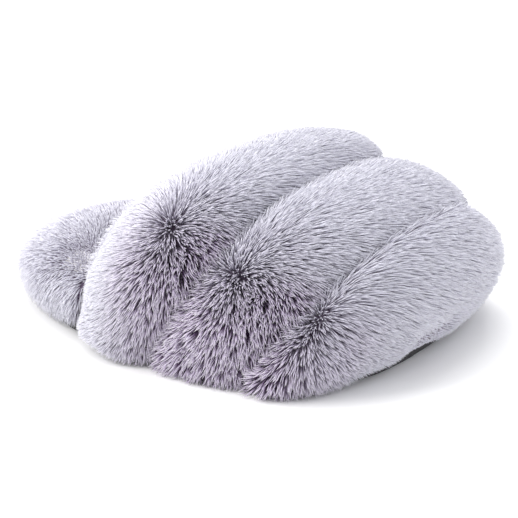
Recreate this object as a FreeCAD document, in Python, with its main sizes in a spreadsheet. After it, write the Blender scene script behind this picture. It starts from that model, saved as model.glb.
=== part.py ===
import FreeCAD, Part
import math
import os

# A closed-toe pet bed in long pile plush. Its own frame has +Z up, X across the bed and Y along it:
# the open mouth with its low padded rim faces -Y, and the closed toe faces +Y. The origin is the
# middle of the underside. Lengths are in millimetres and angles in degrees.

doc = FreeCAD.newDocument("pet_cave_bed")

# ---------------------------------------------------------------- driving sizes
SIZES = [
    # Plan of the base: two half superellipses that meet at its widest line.
    ("half_width", 188.0),
    ("mouth_length", 280.0),
    ("toe_length", 202.0),
    ("mouth_round", 2.1),
    ("toe_round", 3.0),
    # Base sandwich, from the floor up.
    ("dot_height", 0.8),
    ("dot_radius", 3.0),
    ("dot_pitch", 32.0),
    ("grip_film_thick", 0.4),
    ("grip_film_inset", 12.0),
    ("base_cloth_thick", 1.6),
    ("base_lip_height", 11.0),
    ("binding_width", 5.0),
    ("binding_thick", 1.2),
    ("base_pad_thick", 11.0),
    ("floor_cloth_thick", 3.0),
    ("fit_clearance", 0.3),
    # Loose fibre lies this far off the curved cloth round it.
    ("filling_gap", 0.8),
    # The hood's four stations, from the mouth to the toe: where a hoop's feet stand along the bed,
    # how far it leans towards the toe, and how far its crown stands from its foot line.
    ("mouth_foot", -133.0),
    ("mouth_lean", 17.0),
    ("mouth_reach", 150.0),
    ("front_groove_foot", -17.0),
    ("front_groove_lean", 31.5),
    ("front_groove_reach", 196.0),
    ("back_groove_foot", 108.0),
    ("back_groove_lean", 34.0),
    ("back_groove_reach", 167.0),
    ("toe_foot", 134.0),
    ("hoop_squareness_mouth", 3.1),
    ("hoop_squareness_toe", 2.1),
    # How far each padded rib swells out past the grooves beside it.
    ("front_puff", 34.0),
    ("middle_puff", 15.0),
    ("back_puff", 26.0),
    # Thicknesses through the hood.
    ("hood_wall", 19.0),
    ("plush_thick", 7.0),
    ("lining_thick", 3.0),
    ("quilt_thick", 2.0),
    ("mouth_binding_thick", 4.0),
    # The rim round the mouth end.
    ("rim_width", 108.0),
    ("rim_height", 66.0),
    ("rim_sink", 5.0),
    ("rim_overhang", 27.0),
    # The loose inner cushion.
    ("cushion_side_gap", 38.0),
    ("cushion_toe_gap", 50.0),
    ("cushion_rim_gap", 5.0),
    ("cushion_thick", 40.0),
    ("cushion_edge_radius", 17.0),
    ("cushion_cloth_thick", 2.5),
    # The blank care label in the toe seam.
    ("label_width", 30.0),
    ("label_length", 26.0),
    ("label_thick", 0.6),
    ("label_place", 58.0),
]

sheet = doc.addObject("Spreadsheet::Sheet", "Sizes")
for row, (alias, value) in enumerate(SIZES, 1):
    sheet.set(f"A{row}", alias)
    sheet.set(f"B{row}", str(value))
    sheet.setAlias(f"B{row}", alias)
doc.recompute()


def size(alias):
    return float(getattr(sheet, alias))


# Levels in the base sandwich.
cloth_bottom = size("dot_height") + size("grip_film_thick")
pad_bottom = cloth_bottom + size("base_cloth_thick")
pad_top = pad_bottom + size("base_pad_thick")
floor_top = pad_top + size("floor_cloth_thick")
PAD_TOP = "Sizes.dot_height + Sizes.grip_film_thick + Sizes.base_cloth_thick + Sizes.base_pad_thick"
FLOOR_TOP = PAD_TOP + " + Sizes.floor_cloth_thick"


# ---------------------------------------------------------------- small tools
def bind(obj, **expressions):
    """Bind an object's properties to the sheet; dots in a property's path are written as __."""
    for path, expression in expressions.items():
        obj.setExpression(path.replace("__", "."), expression)
    return obj


def plain(name, shape):
    """A helper shape that other objects are made from."""
    obj = doc.addObject("Part::Feature", name)
    obj.Shape = shape
    return obj


def boolean(kind, name, base, tool):
    obj = doc.addObject("Part::" + kind, name)
    obj.Base = base
    obj.Tool = tool
    return obj


def signed_power(value, power):
    return math.copysign(abs(value) ** power, value)


def smooth_edge(points):
    curve = Part.BSplineCurve()
    curve.interpolate(points)
    return curve.toShape()


# ---------------------------------------------------------------- plan outlines
def plan_point(turn, inset, height=0.0):
    """A point on the base's outline, moved in by inset; turn runs round from +X through +Y."""
    across, along = math.cos(turn), math.sin(turn)
    squareness = size("toe_round") if along > 0 else size("mouth_round")
    length = size("toe_length") if along > 0 else size("mouth_length")
    x = (size("half_width") - inset) * signed_power(across, 2 / squareness)
    y = (length - inset) * signed_power(along, 2 / squareness)
    return FreeCAD.Vector(x, y, height)


def half_width_at(along):
    """Half the base's width at a place along the bed."""
    squareness = size("toe_round") if along > 0 else size("mouth_round")
    length = size("toe_length") if along > 0 else size("mouth_length")
    return size("half_width") * (1 - (abs(along) / length) ** squareness) ** (1 / squareness)


def closed_outline(point_at, steps=24):
    """A closed face made of two smooth halves, which meet at the widest line."""
    toe = [point_at(math.pi * i / steps) for i in range(steps + 1)]
    mouth = [point_at(math.pi * (1 + i / steps)) for i in range(steps + 1)]
    mouth[0], mouth[-1] = toe[-1], toe[0]
    return Part.Face(Part.Wire([smooth_edge(toe), smooth_edge(mouth)]))


def plan_plate(name, inset, low, height_expression):
    """A plate of the plan's outline: its thickness is bound to the sheet."""
    face = plain(name + "Outline", closed_outline(lambda turn: plan_point(turn, inset, low)))
    plate = doc.addObject("Part::Extrusion", name)
    plate.Base = face
    plate.DirMode = "Custom"
    plate.Dir = FreeCAD.Vector(0, 0, 1)
    plate.Solid = True
    return bind(plate, LengthFwd=height_expression)


# ---------------------------------------------------------------- hood hoops
# A rib rises steeply from the groove at each side of it and is nearly flat over its middle: its swell
# is a half sine raised to SWELL_POWER, sampled at these parts of the way from groove to groove.
SWELL_POWER = 0.6
RIB_PARTS = (0.0, 0.15, 0.5, 0.85, 1.0)
STATIONS = [
    # foot, lean, reach
    (size("mouth_foot"), size("mouth_lean"), size("mouth_reach")),
    (size("front_groove_foot"), size("front_groove_lean"), size("front_groove_reach")),
    (size("back_groove_foot"), size("back_groove_lean"), size("back_groove_reach")),
    (size("toe_foot"), 90.0, size("toe_length") - size("toe_foot")),
]
LAST = len(STATIONS) - 1


def station_at(place):
    """Foot, lean and reach at a place from 0, the mouth's edge, to 3, the toe's ground line."""
    first = min(int(place), LAST - 1)
    part = place - first
    return [a + (b - a) * part for a, b in zip(STATIONS[first], STATIONS[first + 1])]


def arch_edge(place, shrink, puff=0.0, shift=0.0, steps=12):
    """One leaning arch on top of the base pad. shrink makes it smaller all round, puff larger, and
    shift moves its plane along its own normal."""
    foot, lean, reach = station_at(place)
    tilt = math.radians(lean)
    half = half_width_at(foot) + puff - shrink
    reach = reach + puff - shrink
    start, end = size("hoop_squareness_mouth"), size("hoop_squareness_toe")
    power = 2 / (start + (end - start) * place / LAST)
    moved = foot + (shift / math.cos(tilt) if shift else 0.0)
    points = []
    for i in range(steps + 1):
        turn = math.pi * i / steps
        rise = reach * math.sin(turn) ** power if 0 < i < steps else 0.0
        across = half * signed_power(math.cos(turn), power)
        points.append(FreeCAD.Vector(across, moved + rise * math.sin(tilt), pad_top + rise * math.cos(tilt)))
    return smooth_edge(points)


def banded(outer, inner):
    """A closed wire: an outer arch, an inner one and the two short foot lines between them."""
    right_foot = Part.makeLine(inner.Vertexes[0].Point, outer.Vertexes[0].Point)
    left_foot = Part.makeLine(outer.Vertexes[-1].Point, inner.Vertexes[-1].Point)
    return Part.Wire([outer, left_foot, inner, right_foot])


# Three ribs, each a plush cover over a core of filling. Neighbours stop at a thin sewn quilting wall,
# and the lining runs under them all, one panel below each rib, sewn into one skin.
plush = size("plush_thick")
lining_outer = size("hood_wall")
lining_inner = lining_outer + size("lining_thick")
filling_top = plush + size("filling_gap")
filling_depth = lining_outer - size("filling_gap")
half_quilt = size("quilt_thick") / 2
RIBS = [
    ("front", 0, size("front_puff"), 0.0, half_quilt),
    ("middle", 1, size("middle_puff"), half_quilt, half_quilt),
    ("back", 2, size("back_puff"), half_quilt, 0.0),
]


def rib_loft(first, outer, inner, outer_puff, inner_puff, start_gap=0.0, end_gap=0.0):
    """A skin or core from one groove to the next, between two depths below the hood's surface."""
    wires = []
    for part in RIB_PARTS:
        swell = math.sin(math.pi * part) ** SWELL_POWER if 0 < part < 1 else 0.0
        shift = {0.0: start_gap, 1.0: -end_gap}.get(part, 0.0)
        outside = arch_edge(first + part, outer, outer_puff * swell, shift)
        inside = arch_edge(first + part, inner, inner_puff * swell, shift)
        wires.append(banded(outside, inside))
    return Part.makeLoft(wires, True, False)


rib_covers = []
rib_fillings = []
lining_panels = []
for name, first, puff, start_gap, end_gap in RIBS:
    cover = rib_loft(first, 0.0, plush, puff, puff, start_gap, end_gap)
    rib_covers.append(plain("rib_cover_" + name, cover))
    core = rib_loft(first, filling_top, filling_depth, puff, 0.0, start_gap, end_gap)
    rib_fillings.append(plain("rib_filling_" + name, core))
    lining_panels.append(rib_loft(first, lining_outer, lining_inner, 0.0, 0.0))
hood_lining = plain("hood_lining", lining_panels[0].multiFuse(lining_panels[1:]))

# The two quilting walls between the ribs, and the rolled binding that closes the mouth's edge.
BANDS = [
    ("quilt_wall_front", 1, filling_depth, size("quilt_thick"), -half_quilt),
    ("quilt_wall_back", 2, filling_depth, size("quilt_thick"), -half_quilt),
    ("mouth_binding", 0, lining_inner, size("mouth_binding_thick"), -size("mouth_binding_thick")),
]
bands = []
for name, place, depth, thick, start in BANDS:
    face = Part.Face(banded(arch_edge(place, 0.0, 0.0, start), arch_edge(place, depth, 0.0, start)))
    along = thick / math.cos(math.radians(station_at(place)[1]))
    bands.append(plain(name, face.extrude(FreeCAD.Vector(0, along, 0))))


# ---------------------------------------------------------------- rim
rim_tall = (size("rim_height") + size("rim_sink")) / 2


def rim_frame(turn):
    """The middle of the rim's tube at a turn round the mouth, and which way faces out of the bed.
    The tube overhangs the base most at the front."""
    overhang = size("rim_overhang") * abs(math.sin(turn))
    centre = plan_point(turn, size("rim_width") / 2 - overhang, pad_top - size("rim_sink") + rim_tall)
    ahead = plan_point(min(turn + 0.01, math.tau), 0.0) - plan_point(max(turn - 0.01, math.pi), 0.0)
    return centre, FreeCAD.Vector(ahead.y, -ahead.x, 0).normalize()


def rim_half_arc(turn, shrink, side, seam_gap=0.0, steps=8):
    """Half of the tube's section, from its lowest point to its highest: side 1 is the half that
    faces out of the bed, and -1 the half that faces in. seam_gap parts the two halves."""
    centre, outward = rim_frame(turn)
    points = []
    for i in range(steps + 1):
        angle = math.pi * (i / steps - 0.5)
        reach = (size("rim_width") / 2 - shrink) * math.cos(angle) + seam_gap / 2
        across = outward * (side * reach)
        points.append(centre + across + FreeCAD.Vector(0, 0, (rim_tall - shrink) * math.sin(angle)))
    return smooth_edge(points)


rim_turns = [math.pi * (1 + i / 12) for i in range(13)]


def rim_skin(side):
    """Half of the rim's plush skin, split along the tube's lowest and highest lines."""
    gap = 2 * size("fit_clearance")
    wires = []
    for turn in rim_turns:
        wires.append(banded(rim_half_arc(turn, 0.0, side, gap), rim_half_arc(turn, plush, side, gap)))
    return Part.makeLoft(wires, True, False)


def rim_solid(shrink):
    wires = []
    for turn in rim_turns:
        wires.append(Part.Wire([rim_half_arc(turn, shrink, 1), rim_half_arc(turn, shrink, -1)]))
    return Part.makeLoft(wires, True, False)


# The room that the rim may fill: above the base pad and ahead of the mouth's binding.
rim_room = doc.addObject("Part::Box", "RimRoom")
bind(
    rim_room,
    Length="4 * Sizes.half_width",
    Width="2 * Sizes.mouth_length",
    Height="2 * Sizes.mouth_length",
)
lean = math.radians(size("mouth_lean"))
face_foot = size("mouth_foot") - size("mouth_binding_thick") / math.cos(lean)
turned = FreeCAD.Rotation(FreeCAD.Vector(1, 0, 0), -size("mouth_lean"))
corner = FreeCAD.Vector(-2 * size("half_width"), face_foot, pad_top)
corner += turned.multVec(FreeCAD.Vector(0, -2 * size("mouth_length"), -size("mouth_length")))
rim_room.Placement = FreeCAD.Placement(corner, turned)
above_pad = doc.addObject("Part::Box", "AbovePad")
bind(
    above_pad,
    Length="4 * Sizes.half_width",
    Width="4 * Sizes.mouth_length",
    Height="2 * Sizes.mouth_length",
    Placement__Base__x="-2 * Sizes.half_width",
    Placement__Base__y="-2 * Sizes.mouth_length",
    Placement__Base__z=PAD_TOP,
)
rim_space = boolean("Common", "RimSpace", rim_room, above_pad)
rim_cover = boolean("Common", "rim_cover", plain("RimOuterSkin", rim_skin(1)), rim_space)
rim_wall = boolean("Common", "rim_inner_wall", plain("RimInnerSkin", rim_skin(-1)), rim_space)
rim_filling = boolean("Common", "rim_filling", plain("RimCore", rim_solid(filling_top)), rim_space)
rim_tube = plain("RimTube", rim_solid(-2 * size("fit_clearance")))
rim_centre = size("rim_width") / 2 - size("rim_overhang")

# ---------------------------------------------------------------- base
# The black non-slip cloth turns up round the edge of the base pad like a shallow tray, with a
# narrow binding round its lip.
cloth_outside = plan_plate("ClothOutside", 0.0, cloth_bottom, "Sizes.base_lip_height")
cloth_inside = plan_plate("ClothInside", size("base_cloth_thick"), pad_bottom, "2 * Sizes.base_lip_height")
base_cloth = boolean("Cut", "base_cloth", cloth_outside, cloth_inside)
pad_inset = size("base_cloth_thick") + size("fit_clearance")
base_pad = plan_plate("base_pad", pad_inset, pad_bottom, "Sizes.base_pad_thick")
binding_low = cloth_bottom + size("base_lip_height") - size("binding_width")
binding_outside = plan_plate("BindingOutside", -size("binding_thick"), binding_low, "Sizes.binding_width")
base_binding = boolean("Cut", "base_binding", binding_outside, cloth_outside)

# A thin rubbery film under the cloth carries rows of moulded dots that grip the floor.
edge_gap = size("grip_film_inset") + size("dot_radius") + size("grip_film_thick")
dots = []
dot_rows = int(size("mouth_length") / size("dot_pitch")) + 2
for i in range(-dot_rows, dot_rows + 1):
    for j in range(-dot_rows, dot_rows + 1):
        x = (i + 0.5 * (j % 2)) * size("dot_pitch")
        y = j * size("dot_pitch") * math.sqrt(3) / 2
        length = (size("toe_length") if y > 0 else size("mouth_length")) - edge_gap
        if abs(y) > length or abs(x) > half_width_at(y) - 2 * edge_gap:
            continue
        dots.append(Part.makeCylinder(size("dot_radius"), size("dot_height"), FreeCAD.Vector(x, y, 0)))
film_face = closed_outline(lambda turn: plan_point(turn, size("grip_film_inset"), size("dot_height")))
film = film_face.extrude(FreeCAD.Vector(0, 0, size("grip_film_thick")))
grip_sheet = plain("grip_sheet", film.multiFuse(dots))

# The plush floor lies on the pad, and its edge is tucked in beside the rim.
floor_plate = plan_plate("FloorPlate", rim_centre, pad_top, "Sizes.floor_cloth_thick")
floor_cloth = boolean("Cut", "floor_cloth", floor_plate, boolean("Common", "RimWhole", rim_tube, rim_space))

# ---------------------------------------------------------------- loose cushion
def clear_of_rim(half):
    """The longest half ellipse of this half width that stays inside the rim's inner edge."""
    longest = size("mouth_length")
    cushion_top_level = floor_top + size("fit_clearance") + size("cushion_thick") - pad_top
    rim_end = face_foot + cushion_top_level * math.tan(lean)
    for i in range(1, 100):
        centre, outward = rim_frame(math.pi * (1 + i / 200))
        edge = centre - outward * (size("rim_width") / 2)
        if edge.y < rim_end and abs(edge.x) < half:
            longest = min(longest, -edge.y / math.sqrt(1 - (edge.x / half) ** 2))
    return longest


cushion_half = size("half_width") - lining_inner - size("cushion_side_gap")
cushion_toe = size("toe_length") - lining_inner - size("cushion_toe_gap")
cushion_mouth = clear_of_rim(cushion_half + size("cushion_rim_gap")) - size("cushion_rim_gap")


def cushion_point(turn, inset, height):
    along = math.sin(turn)
    length = cushion_toe if along > 0 else cushion_mouth
    return FreeCAD.Vector((cushion_half - inset) * math.cos(turn), (length - inset) * along, height)


def cushion_solid(name, inset, height_expression):
    """A rounded pad: its outline pulled up and filleted round both edges."""
    low = floor_top + size("fit_clearance") + inset
    curve = Part.BSplineCurve()
    curve.interpolate([cushion_point(math.tau * i / 32, inset, low) for i in range(32)], PeriodicFlag=True)
    outline = plain(name + "Outline", Part.Face(Part.Wire([curve.toShape()])))
    block = doc.addObject("Part::Extrusion", name + "Block")
    block.Base = outline
    block.DirMode = "Custom"
    block.Dir = FreeCAD.Vector(0, 0, 1)
    block.Solid = True
    bind(block, LengthFwd=height_expression)
    block.Base.recompute()
    block.recompute()
    radius = size("cushion_edge_radius") - inset
    flat = [i + 1 for i, edge in enumerate(block.Shape.Edges) if edge.BoundBox.ZLength < 1e-6]
    rounded = doc.addObject("Part::Fillet", name)
    rounded.Base = block
    rounded.Edges = [(number, radius, radius) for number in flat]
    return rounded


cushion_cloth = size("cushion_cloth_thick")
cushion_outside = cushion_solid("CushionOutside", 0.0, "Sizes.cushion_thick")
cushion_filling = cushion_solid(
    "cushion_filling", cushion_cloth, "Sizes.cushion_thick - 2 * Sizes.cushion_cloth_thick"
)
cushion_shell = boolean("Cut", "CushionShell", cushion_outside, cushion_filling)
upper_room = doc.addObject("Part::Box", "UpperRoom")
bind(
    upper_room,
    Length="4 * Sizes.half_width",
    Width="4 * Sizes.mouth_length",
    Height="Sizes.cushion_thick",
    Placement__Base__x="-2 * Sizes.half_width",
    Placement__Base__y="-2 * Sizes.mouth_length",
    Placement__Base__z=FLOOR_TOP + " + Sizes.fit_clearance + Sizes.cushion_thick / 2",
)
cushion_top = boolean("Common", "cushion_top_cover", cushion_shell, upper_room)
cushion_bottom = boolean("Cut", "cushion_bottom_cover", cushion_shell, upper_room)

# ---------------------------------------------------------------- care label
# A blank satin tab, sewn in the toe's base seam and lying against the floor side of the plush.
label_turn = math.pi / 2 + math.radians(size("label_place"))
care_label = doc.addObject("Part::Box", "care_label")
bind(care_label, Length="Sizes.label_width", Width="Sizes.label_length", Height="Sizes.label_thick")
label_spot = plan_point(label_turn, -size("binding_thick"), binding_low - size("label_thick"))
ahead = plan_point(label_turn + 0.01, 0.0) - plan_point(label_turn - 0.01, 0.0)
label_face = FreeCAD.Rotation(FreeCAD.Vector(0, 0, 1), math.degrees(math.atan2(ahead.y, ahead.x)) + 180)
care_label.Placement = FreeCAD.Placement(label_spot, label_face)

# ---------------------------------------------------------------- finish
NODES = [
    base_cloth, grip_sheet, base_binding, base_pad, floor_cloth,
    rim_cover, rim_wall, rim_filling,
    *rib_covers, *rib_fillings, *bands, hood_lining,
    cushion_top, cushion_bottom, cushion_filling, care_label,
]
doc.recompute()

for node in doc.Objects:
    if "Invalid" in node.State or "Error" in node.State:
        raise RuntimeError(f"{node.Name} failed: {node.State}")
for node in NODES:
    node.Label = node.Name
    shape = node.Shape
    if shape.isNull() or not shape.isValid() or not shape.Solids:
        raise RuntimeError(f"{node.Name} has no valid solid")

# The origin is the middle of the whole bed's underside, so every piece moves along by the same step.
boxes = [node.Shape.optimalBoundingBox(False) for node in NODES]
lowest = min(box.YMin for box in boxes)
highest = max(box.YMax for box in boxes)
centring = FreeCAD.Vector(0, -(lowest + highest) / 2, 0)
os.makedirs("parts", exist_ok=True)
for node in NODES:
    placed = node.Shape.copy()
    placed.translate(centring)
    placed.exportStep(f"parts/{node.Label}.step")
    box = placed.optimalBoundingBox(False)
    extent = f"x {box.XMin:.1f} {box.XMax:.1f} y {box.YMin:.1f} {box.YMax:.1f}"
    print(f"{node.Label:22s} {placed.Volume / 1000:8.1f} cm3  {extent} z {box.ZMin:.1f} {box.ZMax:.1f}")
print("moved along Y by", centring.y)
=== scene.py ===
import math

import bmesh
import bpy
import numpy as np
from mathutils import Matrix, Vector, noise
from mathutils.bvhtree import BVHTree


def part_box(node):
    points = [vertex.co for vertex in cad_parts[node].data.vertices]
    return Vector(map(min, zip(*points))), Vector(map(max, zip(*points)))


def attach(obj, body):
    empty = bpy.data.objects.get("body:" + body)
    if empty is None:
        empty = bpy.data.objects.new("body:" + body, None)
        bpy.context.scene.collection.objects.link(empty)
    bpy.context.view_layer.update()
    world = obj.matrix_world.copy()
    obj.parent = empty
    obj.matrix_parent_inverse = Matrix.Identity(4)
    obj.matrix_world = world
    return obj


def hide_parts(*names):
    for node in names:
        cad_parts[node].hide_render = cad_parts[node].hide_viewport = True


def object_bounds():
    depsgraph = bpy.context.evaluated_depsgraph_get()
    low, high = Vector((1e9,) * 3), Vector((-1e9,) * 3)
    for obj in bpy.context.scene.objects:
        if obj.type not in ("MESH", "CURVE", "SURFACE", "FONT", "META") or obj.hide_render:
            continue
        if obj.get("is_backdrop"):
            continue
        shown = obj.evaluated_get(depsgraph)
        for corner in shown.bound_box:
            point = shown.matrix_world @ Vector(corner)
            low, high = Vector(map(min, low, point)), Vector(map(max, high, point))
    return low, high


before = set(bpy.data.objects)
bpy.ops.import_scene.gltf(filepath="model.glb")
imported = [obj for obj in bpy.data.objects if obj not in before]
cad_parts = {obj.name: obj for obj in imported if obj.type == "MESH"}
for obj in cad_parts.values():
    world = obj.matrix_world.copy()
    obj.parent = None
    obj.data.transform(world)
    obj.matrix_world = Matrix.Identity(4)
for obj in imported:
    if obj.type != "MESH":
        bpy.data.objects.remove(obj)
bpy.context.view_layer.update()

scene = bpy.context.scene
scene.view_settings.view_transform = "Standard"

# ---------------------------------------------------------------- camera and studio
# A long lens looks at the toe's near corner from a little above. A large soft lamp hangs over the far
# side, two smaller ones stand near the mouth and the toe, and a white sky fills in the rest.
aim = Vector((0.0, 0.0298, 0.09))


def stand_off(turn, rise, distance):
    """A place round the bed: turn runs from the mouth towards +X, and rise is above the floor."""
    a, e = math.radians(turn), math.radians(rise)
    return aim + distance * Vector((math.sin(a) * math.cos(e), -math.cos(a) * math.cos(e), math.sin(e)))


def look_at_bed(obj, spot):
    obj.location = spot
    obj.rotation_euler = (aim - spot).to_track_quat("-Z", "Y").to_euler()
    scene.collection.objects.link(obj)


camera_data = bpy.data.cameras.new("camera")
camera_data.lens = 116.3
camera_data.shift_x = -0.015
camera_data.shift_y = -0.038
camera = bpy.data.objects.new("camera", camera_data)
look_at_bed(camera, stand_off(123.8, 18.0, 1.886))
scene.camera = camera

LAMP_DISTANCE = 2.4
for name, turn, rise, width, power, colour in (
    ("overhead_lamp", 304, 66, 2.2, 38.0, (1.0, 1.0, 1.0)),
    ("toe_lamp", 190, 35, 1.8, 8.0, (0.80, 0.85, 1.0)),
    ("mouth_lamp", 45, 32, 1.8, 46.0, (1.0, 0.99, 0.98)),
):
    lamp = bpy.data.lights.new(name, "AREA")
    lamp.size = width
    lamp.energy = power
    lamp.color = colour
    look_at_bed(bpy.data.objects.new(name, lamp), stand_off(turn, rise, LAMP_DISTANCE))

world = bpy.data.worlds.new("white_sky")
world.use_nodes = True
sky = world.node_tree.nodes["Background"].inputs
sky["Color"].default_value = (1.0, 1.0, 1.0, 1.0)
sky["Strength"].default_value = 1.0
scene.world = world

floor_mesh = bpy.data.meshes.new("studio_floor")
floor_mesh.from_pydata([(-6, -6, 0), (6, -6, 0), (6, 6, 0), (-6, 6, 0)], [], [(0, 1, 2, 3)])
floor = bpy.data.objects.new("studio_floor", floor_mesh)
scene.collection.objects.link(floor)
floor_paint = bpy.data.materials.new("floor_paint")
floor_paint.use_nodes = True
paint = floor_paint.node_tree.nodes["Principled BSDF"].inputs
paint["Base Color"].default_value = (0.95, 0.95, 0.95, 1.0)
paint["Roughness"].default_value = 0.9
floor.data.materials.append(floor_paint)
floor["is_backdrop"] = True

# ---------------------------------------------------------------- grip sheet and base cloth
# The underside is smooth black coated cloth, turned up round the pad like a shallow tray. A rubbery
# film under it carries moulded dots, and a woven tape binds the tray's lip.


def make(tree, kind, inputs=None, **settings):
    """One node, with its settings; an input is a value or another node's output."""
    node = tree.nodes.new(kind)
    for name, value in settings.items():
        setattr(node, name, value)
    for name, value in (inputs or {}).items():
        if isinstance(value, bpy.types.NodeSocket):
            tree.links.new(value, node.inputs[name])
        else:
            node.inputs[name].default_value = value
    return node


def new_material(name, **sockets):
    """An empty material: its node tree and its shader, with uniform values on the shader."""
    material = bpy.data.materials.new(name)
    material.use_nodes = True
    tree = material.node_tree
    shader = tree.nodes["Principled BSDF"]
    for socket, value in sockets.items():
        shader.inputs[socket.replace("_", " ")].default_value = value
    return material, tree, shader


def colour_ramp(tree, factor, *stops):
    """A colour ramp with one stop for each (place, red, green, blue)."""
    ramp = make(tree, "ShaderNodeValToRGB", {"Fac": factor})
    while len(ramp.color_ramp.elements) < len(stops):
        ramp.color_ramp.elements.new(1.0)
    for element, (place, *rgb) in zip(ramp.color_ramp.elements, stops):
        element.position = place
        element.color = (*rgb, 1.0)
    return ramp.outputs["Color"]


def object_noise(tree, scale, detail=3.0, stretch=(1.0, 1.0, 1.0)):
    place = make(tree, "ShaderNodeTexCoord").outputs["Object"]
    mapped = make(tree, "ShaderNodeMapping", {"Vector": place, "Scale": stretch}).outputs["Vector"]
    inputs = {"Vector": mapped, "Scale": scale, "Detail": detail}
    return make(tree, "ShaderNodeTexNoise", inputs).outputs["Fac"]


def object_waves(tree, scale, axis, distortion=0.0):
    place = make(tree, "ShaderNodeTexCoord").outputs["Object"]
    inputs = {"Vector": place, "Scale": scale, "Distortion": distortion}
    return make(tree, "ShaderNodeTexWave", inputs, bands_direction=axis).outputs["Fac"]


def blended(tree, operation, first, second, clamp=False):
    inputs = {0: first, 1: second}
    return make(tree, "ShaderNodeMath", inputs, operation=operation, use_clamp=clamp).outputs[0]


def ranged(tree, value, low, high):
    """A value from 0 to 1 spread between low and high."""
    inputs = {"Value": value, "To Min": low, "To Max": high}
    return make(tree, "ShaderNodeMapRange", inputs).outputs[0]


def feed(tree, shader, **sockets):
    """Links a node's output to each of the shader's sockets named."""
    for socket, value in sockets.items():
        tree.links.new(value, shader.inputs[socket.replace("_", " ")])


def raise_bumps(tree, shader, height, distance, strength=0.6):
    bump = make(tree, "ShaderNodeBump", {"Height": height, "Distance": distance, "Strength": strength})
    tree.links.new(bump.outputs["Normal"], shader.inputs["Normal"])


def grip_rubber():
    material, tree, shader = new_material("grip_rubber", Specular_IOR_Level=0.3)
    grain = object_noise(tree, 900.0)
    colour = colour_ramp(tree, grain, (0.3, 0.010, 0.010, 0.011), (0.7, 0.024, 0.023, 0.026))
    scuffs = object_noise(tree, 60.0, 6.0)
    feed(tree, shader, Base_Color=colour, Roughness=ranged(tree, scuffs, 0.55, 0.85))
    raise_bumps(tree, shader, grain, 0.0003)
    return material


def woven_cloth(name, dark, light, threads, roughness=0.7):
    """A plain weave: two crossed sets of threads with uneven dye."""
    material, tree, shader = new_material(name, Sheen_Weight=0.2, Specular_IOR_Level=0.3)
    warp = object_waves(tree, threads, "X", 0.4)
    weft = object_waves(tree, threads, "Y", 0.4)
    rise = object_waves(tree, threads, "Z", 0.4)
    weave = blended(tree, "MULTIPLY", blended(tree, "MAXIMUM", warp, rise), weft)
    dye = blended(tree, "MULTIPLY", object_noise(tree, 30.0, 5.0), 0.6)
    mixed = blended(tree, "ADD", blended(tree, "MULTIPLY", weave, 0.7), dye)
    colour = colour_ramp(tree, mixed, (0.2, *dark), (0.9, *light))
    feed(tree, shader, Base_Color=colour, Roughness=ranged(tree, weave, roughness - 0.15, roughness + 0.15))
    raise_bumps(tree, shader, weave, 0.0003)
    return material


def dress(node, material):
    """A CAD node that keeps its shape gets its finish."""
    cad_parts[node].data.materials.clear()
    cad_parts[node].data.materials.append(material)


black_cloth = woven_cloth("coated_black_cloth", (0.008, 0.008, 0.009), (0.022, 0.021, 0.024), 700.0, 0.5)
black_tape = woven_cloth("woven_black_tape", (0.006, 0.006, 0.007), (0.030, 0.028, 0.032), 450.0, 0.75)
dress("grip_sheet", grip_rubber())
dress("base_cloth", black_cloth)
dress("base_binding", black_tape)

# ---------------------------------------------------------------- stuffed plush skins
# Each rib, and the rim, is a plush tube stuffed with loose fibre. Its seams hold it down at the
# grooves and along the lining, and between them the filling blows the plush up.


def positions(mesh):
    flat = np.empty(len(mesh.vertices) * 3)
    mesh.vertices.foreach_get("co", flat)
    return flat.reshape(-1, 3)


def normals(mesh):
    flat = np.empty(len(mesh.vertices) * 3)
    mesh.vertices.foreach_get("normal", flat)
    return flat.reshape(-1, 3)


def place(mesh, points):
    mesh.vertices.foreach_set("co", np.ascontiguousarray(points, dtype=float).ravel())
    mesh.update()


def ease(value, low, high):
    """0 below low, 1 above high and a smooth rise between them."""
    part = np.clip((value - low) / (high - low), 0.0, 1.0)
    return part * part * (3 - 2 * part)


def surface_tree(*meshes):
    """Something to ask for the nearest point on copies of meshes."""
    whole = bmesh.new()
    for mesh in meshes:
        whole.from_mesh(mesh)
    bvh = BVHTree.FromBMesh(whole)
    whole.free()
    return bvh


def gap_to(bvh, points):
    """How far each point is from a surface."""
    return np.array([bvh.find_nearest(Vector(point))[3] for point in points])


def cad(*names):
    return [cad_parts[name].data for name in names]


def remeshed(name, meshes, voxel):
    """One closed skin of even quads round copies of CAD meshes."""
    whole = bmesh.new()
    for mesh in meshes:
        whole.from_mesh(mesh)
    bmesh.ops.remove_doubles(whole, verts=whole.verts, dist=1e-5)
    mesh = bpy.data.meshes.new(name)
    whole.to_mesh(mesh)
    whole.free()
    piece = bpy.data.objects.new(name, mesh)
    scene.collection.objects.link(piece)
    weave = piece.modifiers.new("weave", "REMESH")
    weave.mode = "VOXEL"
    weave.voxel_size = voxel
    apply_modifiers(piece)
    drop_inner_shells(piece.data)
    return piece


def apply_modifiers(piece):
    """The piece's modifiers become its mesh."""
    depsgraph = bpy.context.evaluated_depsgraph_get()
    name = piece.data.name
    mesh = bpy.data.meshes.new_from_object(piece.evaluated_get(depsgraph))
    piece.modifiers.clear()
    piece.data = mesh
    piece.data.name = name
    piece.data.materials.clear()


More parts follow.
